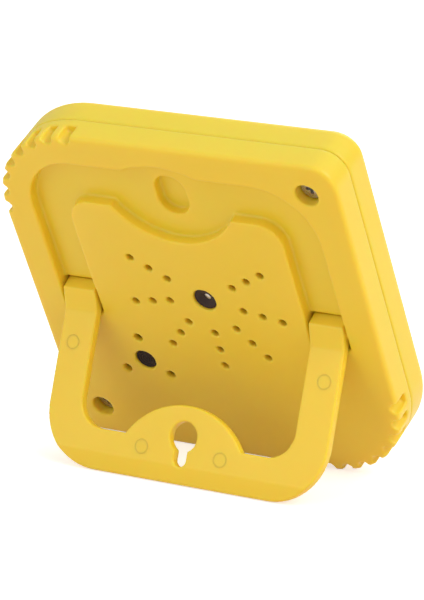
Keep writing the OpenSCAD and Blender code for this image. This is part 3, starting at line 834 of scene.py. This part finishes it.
@dataclass
class DisplayStack:
    """Window, printed border, glass and its dark segments."""

    centre_z: float = 16.5
    view: Pair = (56.0, 31.0)
    window_rim: float = 2.85
    window_back: float = -12.9
    print_edge: float = 0.6
    print_over: float = 2.0
    print_in: float = 0.3
    print_t: float = 0.06
    print_r: Pair = (1.6, 1.2)
    ink_y: Pair = (-12.12, -12.17)
    digits: tuple[int, ...] = (6, 4, 8)
    digit_at: Pair = (10.0, -4.0)
    digit_h: float = 15.0
    digit_w: float = 8.2
    digit_gap: float = 4.2
    bar: float = 1.5
    bar_gap: float = 0.18
    slope: float = 0.12
    point_place: int = 2
    point_gap: float = 2.6
    point_size: Pair = (1.6, 1.5)
    point_drop: float = 0.7
    tick_at: Pair = (6.5, -11.0)
    tick_size: Pair = (1.5, 2.8)
    tick_pitch: float = 2.4
    ticks: int = 18
    ticks_lit: int = 11
    rule_h: float = 0.5
    rule_drop: float = 1.2
    lit: tuple[str, ...] = (
        "abcdef", "bc", "abged", "abgcd", "fgbc", "afgcd", "afgcde", "abc", "abcdefg", "abcdfg",
    )
    finishes: Finishes = (
        ("display_window", Slot.WINDOW),
        ("lcd_glass", Slot.LCD),
        ("lcd_frame", Slot.WHITE),
        ("lcd_pins", Slot.STEEL),
    )

    def segment(self, key: str, x: float, z: float) -> Shape:
        """One segment of a digit: a bar with pointed ends, sheared by the digit's slope.

        Args:
            key: its letter, a at the top, then clockwise, g in the middle.
            x: the digit's left side.
            z: the digit's lower side.

        Returns:
            Points and faces.
        """
        w, h, t = self.digit_w, self.digit_h, self.bar
        ends = {
            "a": ((0, h), (w, h)),
            "b": ((w, h), (w, h / 2)),
            "c": ((w, h / 2), (w, 0)),
            "d": ((0, 0), (w, 0)),
            "e": ((0, h / 2), (0, 0)),
            "f": ((0, h), (0, h / 2)),
            "g": ((0, h / 2), (w, h / 2)),
        }[key]
        p, q = (np.array(e, float) for e in ends)
        along = (q - p) / np.linalg.norm(q - p)
        side = np.array([-along[1], along[0]]) * t / 2
        p, q = p + along * self.bar_gap, q - along * self.bar_gap
        tip = along * t / 2
        outline = np.array([p, p + tip + side, q - tip + side, q, q - tip - side, p + tip - side])
        outline = outline + np.outer(outline[:, 1] * self.slope, [1.0, 0.0]) + [x, z]
        return prism(outline, *self.ink_y)

    def block(self, x: float, z: float, size: Pair) -> Shape:
        """A plain dark rectangle of the display.

        Args:
            x: its left side.
            z: its lower side.
            size: its width and height.

        Returns:
            Points and faces.
        """
        return prism(rectangle(x, z, x + size[0], z + size[1]), *self.ink_y)

    def number(self) -> list[Shape]:
        """The digits and the point before the last of them."""
        left, low = self.digit_at[0] - self.view[0] / 2, self.digit_at[1] + self.centre_z
        pitch = self.digit_w + self.digit_gap
        shapes = []
        for place, digit in enumerate(self.digits):
            x = left + place * pitch + (self.point_gap if place == self.point_place else 0.0)
            shapes += [self.segment(key, x, low) for key in self.lit[digit]]
        point_x = left + self.point_place * pitch - self.point_size[0]
        return shapes + [self.block(point_x, low - self.point_drop, self.point_size)]

    def scale(self) -> list[Shape]:
        """The bar's lit ticks and the ruled line under all of them."""
        left, low = self.tick_at[0] - self.view[0] / 2, self.tick_at[1] + self.centre_z
        shapes = []
        for step in range(self.ticks):
            x = left + step * self.tick_pitch
            if step < self.ticks_lit:
                shapes.append(self.block(x, low, self.tick_size))
            shapes.append(self.block(x, low - self.rule_drop, (self.tick_size[0], self.rule_h)))
        return shapes

    def rounded_outline(self, grow: float, r: float, steps: int = 8) -> Array:
        """The view's rectangle with round corners: quarter circles, counted anticlockwise.

        Args:
            grow: how much wider and higher than the view it is.
            r: corner radius.
            steps: points in each quarter circle.

        Returns:
            N by 2 array.
        """
        t = np.linspace(0.0, math.pi / 2, steps)
        quarter = np.stack([np.cos(t), np.sin(t)], axis=-1) * r
        turns = [np.array([[c, -s], [s, c]]) for c, s in ((1, 0), (0, 1), (-1, 0), (0, -1))]
        half = (np.array(self.view) + grow) / 2 - r
        spots = np.array([[1, 1], [-1, 1], [-1, -1], [1, -1]]) * half
        return np.concatenate([quarter @ turn.T + spot for turn, spot in zip(turns, spots)])

    def border(self) -> Shape:
        """Printed frame in the window's sheet: a thin strip between two rounded rectangles."""
        outer = self.rounded_outline(2 * (self.window_rim - self.print_edge), self.print_r[0])
        inner = self.rounded_outline(-2 * self.print_over, self.print_r[1])
        y0 = self.window_back - self.print_in
        y1 = y0 + self.print_t
        rings = [(outer, y0), (outer, y1), (inner, y1), (inner, y0), (outer, y0)]
        points = [
            np.stack([ring[:, 0], np.full(len(ring), y), ring[:, 1] + self.centre_z], axis=-1)
            for ring, y in rings
        ]
        return np.concatenate(points), grid_faces(len(rings), len(outer))

    def build(self, meter: Meter) -> None:
        """Builds the display."""
        meter.dress(self.finishes)
        meter.piece("lcd_segments", join(self.number() + self.scale()), Body.CASE, Slot.BLACK)
        meter.piece("window_border", self.border(), Body.CASE, Slot.BLACK)


@dataclass
class KeyRow:
    """Four keys with rounded caps and plain raised signs."""

    z: float = -14.0
    pitch: float = 18.0
    sign_y: Pair = (-15.18, -15.28)
    line: float = 0.22
    arc_r: Pair = (1.7, 1.25)
    arc_deg: Pair = (125.0, 415.0)
    arc_steps: int = 40
    stem: Pair = (0.2, 2.0)
    sign_half: float = 1.7
    bar_pitch: float = 1.1
    wedge: Pair = (-1.1, 1.5)
    skin: SoftSkin = SoftSkin(0.2, 6, 0.5)
    keys: tuple[Body, ...] = (Body.POWER, Body.MODE, Body.UP, Body.DOWN)

    def sign(self, key: Body, x: float) -> Shape:
        """Raised sign of a key: an open ring with a stem, three bars, or a triangle.

        Args:
            key: the key.
            x: the key's middle.

        Returns:
            Points and faces.
        """
        half, line = self.sign_half, self.line
        if key is Body.POWER:
            t = np.radians(np.linspace(*self.arc_deg, self.arc_steps))
            arc = np.stack([np.cos(t), np.sin(t)], axis=-1)
            ring = np.concatenate([arc * self.arc_r[0], arc[::-1] * self.arc_r[1]])
            outlines = [ring, rectangle(-line, self.stem[0], line, self.stem[1])]
        elif key is Body.MODE:
            middles = [step * self.bar_pitch for step in (-1, 0, 1)]
            outlines = [rectangle(-half, z - line, half, z + line) for z in middles]
        else:
            up = 1.0 if key is Body.UP else -1.0
            base, tip = (end * up for end in self.wedge)
            outlines = [np.array([[-half, base], [half, base], [0.0, tip]])]
        return join([prism(outline + [x, self.z], *self.sign_y) for outline in outlines])

    def build(self, meter: Meter) -> None:
        """Builds the keys."""
        middle = (len(self.keys) - 1) / 2
        for place, key in enumerate(self.keys):
            slot = Slot.KEY_RED if key is Body.POWER else Slot.KEY_GREY
            self.skin.wrap(meter, key.value, key, slot)
            sign = self.sign(key, (place - middle) * self.pitch)
            meter.piece(key.value + "_sign", sign, key, Slot.WHITE)


@dataclass
class SoundPair:
    """Speaker and microphone behind the openings, with the dark collars that show in them."""

    speaker: Pair = (-2.1, 2.3)
    speaker_r: float = 2.85
    speaker_fall: float = 0.75
    speaker_ribs: int = 1
    microphone: Pair = (20.5, -20.0)
    microphone_r: float = 2.65
    microphone_fall: float = 0.25
    microphone_ribs: int = 4
    rim_y: float = -0.7
    under_y: float = -1.95
    ridge: float = 0.12
    collar_steps: int = 60
    cap_at: Pair = (-2.85, 2.95)
    cap_r: float = 1.15
    cap_y: float = -1.35
    cap_rise: float = 0.2
    cap_steps: int = 12
    sides: int = 48
    finishes: Finishes = (
        ("speaker_frame", Slot.STEEL),
        ("speaker_cone", Slot.BLACK),
        ("voice_coil", Slot.BRASS),
        ("speaker_magnet", Slot.MAGNET),
        # The screens take the mesh finish, whose warm orange is painted glow seen through the vents.
        ("speaker_screen", Slot.MESH),
        ("speaker_pins", Slot.BRASS),
        ("microphone_boot", Slot.RUBBER),
        ("microphone_capsule", Slot.STEEL),
        ("microphone_screen", Slot.MESH),
        ("microphone_leads", Slot.STEEL),
    )

    def collar(self, r: float, ribs: int, fall: float) -> Array:
        """Profile of a collar: a dish that falls inwards in a line with sine ridges, closed below.

        Args:
            r: outer radius.
            ribs: number of ridges.
            fall: depth of the dish.

        Returns:
            Radius and depth along the profile.
        """
        t = np.linspace(0.0, 1.0, self.collar_steps)
        depth = self.rim_y - fall * t + self.ridge * np.sin(2 * math.pi * ribs * t)
        top = np.stack([r * (1.0 - t), depth], axis=-1)
        return np.concatenate([top, [[0.0, self.under_y], [r, self.under_y], top[0]]])

    def cap(self) -> Array:
        """Profile of the bright cap: a dome whose height falls with the square of the radius."""
        r = np.linspace(self.cap_r, 0.0, self.cap_steps)
        height = self.cap_y + self.cap_rise * (1.0 - (r / self.cap_r) ** 2)
        dome = np.stack([r, height], axis=-1)
        return np.concatenate([dome, [[0.0, self.under_y], [self.cap_r, self.under_y], dome[0]]])

    def build(self, meter: Meter) -> None:
        """Dresses the sound pieces and adds the collars and the cap."""
        meter.dress(self.finishes)
        wide = self.collar(self.speaker_r, self.speaker_ribs, self.speaker_fall)
        small = self.collar(self.microphone_r, self.microphone_ribs, self.microphone_fall)
        for name, centre, profile, slot in (
            ("speaker_collar", self.speaker, wide, Slot.RUBBER),
            ("microphone_collar", self.microphone, small, Slot.RUBBER),
            ("speaker_dust_cap", self.cap_at, self.cap(), Slot.STEEL),
        ):
            meter.piece(name, revolve(profile, centre, self.sides), Body.CASE, slot, smooth=True)


@dataclass
class BoardStack:
    """Board, its parts and the keypad mat."""

    finishes: Finishes = (
        ("main_board", Slot.BOARD),
        ("board_screws", Slot.STEEL),
        ("controller_chip", Slot.BLACK),
        ("board_capacitors", Slot.BLACK),
        ("keypad_mat", Slot.RUBBER),
    )

    def build(self, meter: Meter) -> None:
        """Dresses the board."""
        meter.dress(self.finishes)


@dataclass
class PowerCells:
    """Cells and contacts."""

    finishes: Finishes = (("battery_cells", Slot.CELL), ("battery_contacts", Slot.STEEL))

    def build(self, meter: Meter) -> None:
        """Dresses the cells."""
        meter.dress(self.finishes)


# Studio


@dataclass
class Studio:
    """Pale floor, soft lamps and the camera at the photograph's angle."""

    eye: Triple = (-0.38293, 0.63361, 0.22575)
    back: Triple = (-0.50203, 0.83027, 0.24211)
    up: Triple = (0.12766, -0.20574, 0.97025)
    lens: float = 198.0
    sensor: float = 36.0
    clip: Pair = (0.01, 50.0)
    floor_half: float = 6.0
    paper: Colour = (0.75, 0.75, 0.77)
    paper_glow: float = 0.58
    bounce: Colour = (0.92, 0.7, 0.38)
    world: float = 0.55
    aim: Triple = (0.0, 0.0, 0.04)
    lamps: tuple[tuple[str, Triple, float, float], ...] = (
        ("key", (-1.0, 0.3, 0.9), 0.7, 8.6),
        ("fill", (0.5, 0.9, 0.5), 0.8, 2.2),
        ("front", (0.1, -0.9, 0.8), 0.8, 5.4),
    )

    def camera(self) -> None:
        """Sets the camera."""
        data = bpy.data.cameras.new("photo_view")
        data.lens, data.sensor_width, data.sensor_fit = self.lens, self.sensor, "AUTO"
        data.clip_start, data.clip_end = self.clip
        back, up = Vector(self.back).normalized(), Vector(self.up)
        right = up.cross(back).normalized()
        matrix = Matrix((right, back.cross(right), back)).transposed().to_4x4()
        matrix.translation = Vector(self.eye)
        camera = bpy.data.objects.new("photo_view", data)
        camera.matrix_world = matrix
        bpy.context.scene.collection.objects.link(camera)
        bpy.context.scene.camera = camera

    def floor(self) -> None:
        """Makes the floor, white paper to the camera that throws a warm light back on the meter."""
        s = self.floor_half
        mesh = bpy.data.meshes.new("floor")
        mesh.from_pydata([(-s, -s, 0), (s, -s, 0), (s, s, 0), (-s, s, 0)], [], [[0, 1, 2, 3]])
        shader = Shader("floor_paper")
        path = shader.add("ShaderNodeLightPath", out="Is Camera Ray")
        seen = path + path.beside("Is Glossy Ray") + path.beside("Is Transmission Ray")
        matte = shader.add("ShaderNodeBsdfDiffuse", inputs={"Color": (*self.paper, 1.0)})
        glow = shader.add("ShaderNodeEmission", inputs={"Strength": self.paper_glow})
        bright = shader.add("ShaderNodeAddShader", inputs={0: matte, 1: glow})
        bounce = shader.add("ShaderNodeBsdfDiffuse", inputs={"Color": (*self.bounce, 1.0)})
        both = shader.add("ShaderNodeMixShader", inputs={0: seen, 1: bounce, 2: bright})
        shader.add("ShaderNodeOutputMaterial", inputs={"Surface": both})
        mesh.materials.append(shader.material)
        sheet = bpy.data.objects.new("floor", mesh)
        bpy.context.scene.collection.objects.link(sheet)

    def light(self) -> None:
        """Sets the lamps and the white world."""
        for name, place, size, power in self.lamps:
            data = bpy.data.lights.new(name, "AREA")
            data.energy, data.size = power, size
            lamp = bpy.data.objects.new(name, data)
            lamp.location = place
            sight = Vector(self.aim) - Vector(place)
            lamp.rotation_euler = sight.to_track_quat("-Z", "Y").to_euler()
            bpy.context.scene.collection.objects.link(lamp)
        world = bpy.data.worlds.new("white_room")
        world.use_nodes = True
        sky = world.node_tree.nodes["Background"]
        sky.inputs["Color"].default_value = (1.0, 1.0, 1.0, 1.0)
        sky.inputs["Strength"].default_value = self.world
        bpy.context.scene.world = world

    def build(self) -> None:
        """Builds the studio."""
        self.camera()
        self.floor()
        self.light()
        bpy.context.scene.view_settings.view_transform = "Standard"


def main() -> None:
    """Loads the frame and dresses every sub-assembly."""
    logging.basicConfig(level=logging.INFO, format="%(name)s %(message)s")
    for item in list(bpy.data.objects):
        bpy.data.objects.remove(item)
    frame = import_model()
    meter = Meter(frame)
    Studio().build()
    parts = (CaseShells, FoldStand, DisplayStack, KeyRow, SoundPair, BoardStack, PowerCells)
    for part in parts:
        part().build(meter)
    bpy.context.view_layer.update()


if __name__ == "__main__":
    main()
